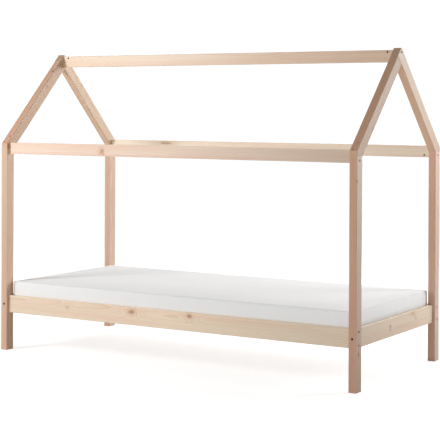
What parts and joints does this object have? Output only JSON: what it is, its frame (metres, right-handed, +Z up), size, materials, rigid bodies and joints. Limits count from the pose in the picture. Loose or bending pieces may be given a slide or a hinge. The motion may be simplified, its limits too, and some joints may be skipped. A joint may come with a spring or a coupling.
{
  "type": "house frame bed",
  "caption": "Low single child's bed in pine with a house-shaped open frame above it, slatted base and mattress.",
  "frame": {"origin": "on the floor, at the middle of the bed's footprint", "axes": "+X along the bed towards the picture's right-hand gable, +Y across the bed to the back, +Z up"},
  "size_m": [2.08, 0.98, 1.58],
  "materials": {
    "pine": "planed solid pine, clear, with knots",
    "slat_pine": "planed pine slats, bare",
    "beech": "fluteless beech dowel",
    "zinc_steel": "zinc plated",
    "cover_fabric": "plain white woven cover",
    "foam": "soft open-cell foam"
  },
  "bodies": {
    "frame": {"post_left_front": "pine", "post_left_back": "pine", "post_right_front": "pine", "post_right_back": "pine", "rafter_left_front": "pine", "rafter_left_back": "pine", "rafter_right_front": "pine", "rafter_right_back": "pine", "ridge_beam": "pine", "eaves_rail_front": "pine", "eaves_rail_back": "pine", "side_rail_front": "pine", "side_rail_back": "pine", "end_rail_left": "pine", "end_rail_right": "pine", "slat_ledge_front": "pine", "slat_ledge_back": "pine", "slat_01": "slat_pine", "slat_02": "slat_pine", "slat_03": "slat_pine", "slat_04": "slat_pine", "slat_05": "slat_pine", "slat_06": "slat_pine", "slat_07": "slat_pine", "slat_08": "slat_pine", "slat_09": "slat_pine", "slat_10": "slat_pine", "slat_11": "slat_pine", "slat_12": "slat_pine", "slat_13": "slat_pine", "slat_14": "slat_pine", "side_rail_bolts": "zinc_steel", "side_rail_barrel_nuts": "zinc_steel", "end_rail_bolts": "zinc_steel", "end_rail_barrel_nuts": "zinc_steel", "eaves_rail_bolts": "zinc_steel", "eaves_rail_barrel_nuts": "zinc_steel", "ridge_bolts": "zinc_steel", "ridge_barrel_nuts": "zinc_steel", "rafter_foot_screws": "zinc_steel", "apex_screws": "zinc_steel", "ledge_screws": "zinc_steel", "slat_screws": "zinc_steel", "end_rail_dowels": "beech", "eaves_rail_dowels": "beech", "ridge_dowels": "beech"},
    "mattress": {"mattress_cover": "cover_fabric", "mattress_core": "foam"}
  },
  "joints": [
    {"name": "mattress_lift", "type": "slide", "parent": "frame", "child": "mattress", "axis": [0, 0, 1], "range_m": [0, 0.3]}
  ]
}
